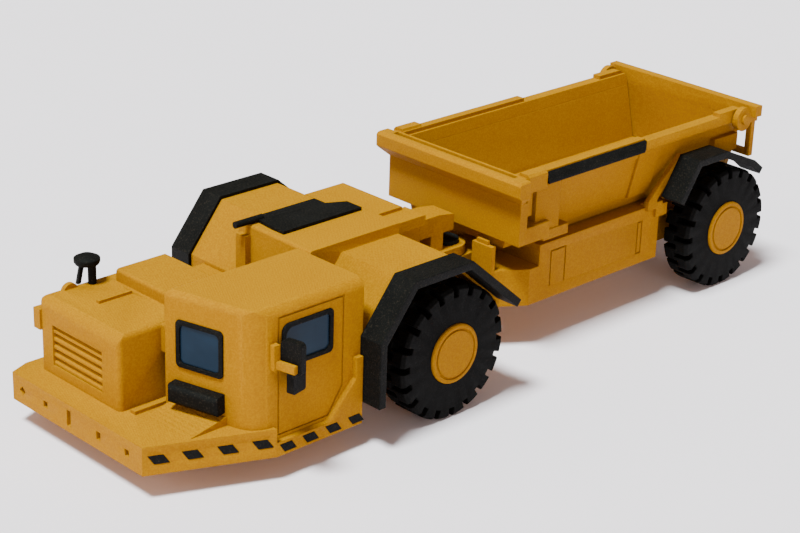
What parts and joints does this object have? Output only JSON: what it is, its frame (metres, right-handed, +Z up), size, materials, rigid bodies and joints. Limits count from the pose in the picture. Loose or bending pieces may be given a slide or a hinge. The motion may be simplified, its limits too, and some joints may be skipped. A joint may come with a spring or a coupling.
{
  "type": "printed model of an articulated underground dump truck",
  "caption": "Printed plastic model of a low articulated mine dump truck with side cab, hinged steering joint, tipping box, swinging tailgate and rolling lugged wheels.",
  "frame": {"origin": "on the floor, under the middle of the overall box", "axes": "+X forward to the bumper, +Y to the vehicle's left, +Z up"},
  "size_m": [0.2502, 0.0906, 0.0588],
  "materials": {
    "yellow_plastic": "printed yellow plastic with fine layer lines",
    "black_plastic": "printed black plastic, slightly grainy",
    "tyre_plastic": "printed black plastic, matte",
    "pin_plastic": "printed black plastic rod",
    "window_plastic": "dark blue plastic insert, semi gloss"
  },
  "bodies": {
    "front_unit": {"front_frame": "yellow_plastic", "front_deck": "yellow_plastic", "hood": "yellow_plastic", "cab": "yellow_plastic", "front_body": "yellow_plastic", "front_fenders": "black_plastic", "top_panel": "black_plastic", "windscreen_frame": "black_plastic", "windscreen": "window_plastic", "door_window_frame": "black_plastic", "door_window": "window_plastic", "lamp_bar": "black_plastic", "mirror_bracket": "yellow_plastic", "door_mirror": "black_plastic", "post_mirror": "black_plastic", "hazard_stripes": "black_plastic", "front_axle": "pin_plastic", "steering_pin": "pin_plastic"},
    "rear_unit": {"rear_chassis": "yellow_plastic", "rear_fenders": "black_plastic", "rear_axle": "pin_plastic", "tip_pin": "pin_plastic"},
    "dump_box": {"box_shell": "yellow_plastic", "box_rails": "yellow_plastic", "headboard_cap": "yellow_plastic", "edge_strips": "black_plastic", "tailgate_pins": "yellow_plastic"},
    "tailgate": {"tailgate": "yellow_plastic"},
    "wheel_front_left": {"tyre_front_left": "tyre_plastic", "hub_front_left": "yellow_plastic"},
    "wheel_front_right": {"tyre_front_right": "tyre_plastic", "hub_front_right": "yellow_plastic"},
    "wheel_rear_left": {"tyre_rear_left": "tyre_plastic", "hub_rear_left": "yellow_plastic"},
    "wheel_rear_right": {"tyre_rear_right": "tyre_plastic", "hub_rear_right": "yellow_plastic"}
  },
  "joints": [
    {"name": "steering", "type": "hinge", "parent": "front_unit", "child": "rear_unit", "pos_m": [-0.0077, 0, 0.0234], "axis": [0, 0, 1], "range_deg": [-40, 40]},
    {"name": "box_tip", "type": "hinge", "parent": "rear_unit", "child": "dump_box", "pos_m": [-0.1105, 0, 0.0285], "axis": [0, -1, 0], "range_deg": [0, 60]},
    {"name": "tailgate_swing", "type": "hinge", "parent": "dump_box", "child": "tailgate", "pos_m": [-0.1129, 0, 0.0548], "axis": [0, 1, 0], "range_deg": [0, 60]},
    {"name": "roll_front_left", "type": "hinge", "parent": "front_unit", "child": "wheel_front_left", "pos_m": [0.0303, 0, 0.02], "axis": [0, 1, 0], "continuous": true},
    {"name": "roll_front_right", "type": "hinge", "parent": "front_unit", "child": "wheel_front_right", "pos_m": [0.0303, 0, 0.02], "axis": [0, 1, 0], "continuous": true},
    {"name": "roll_rear_left", "type": "hinge", "parent": "rear_unit", "child": "wheel_rear_left", "pos_m": [-0.1051, 0, 0.02], "axis": [0, 1, 0], "continuous": true},
    {"name": "roll_rear_right", "type": "hinge", "parent": "rear_unit", "child": "wheel_rear_right", "pos_m": [-0.1051, 0, 0.02], "axis": [0, 1, 0], "continuous": true}
  ]
}
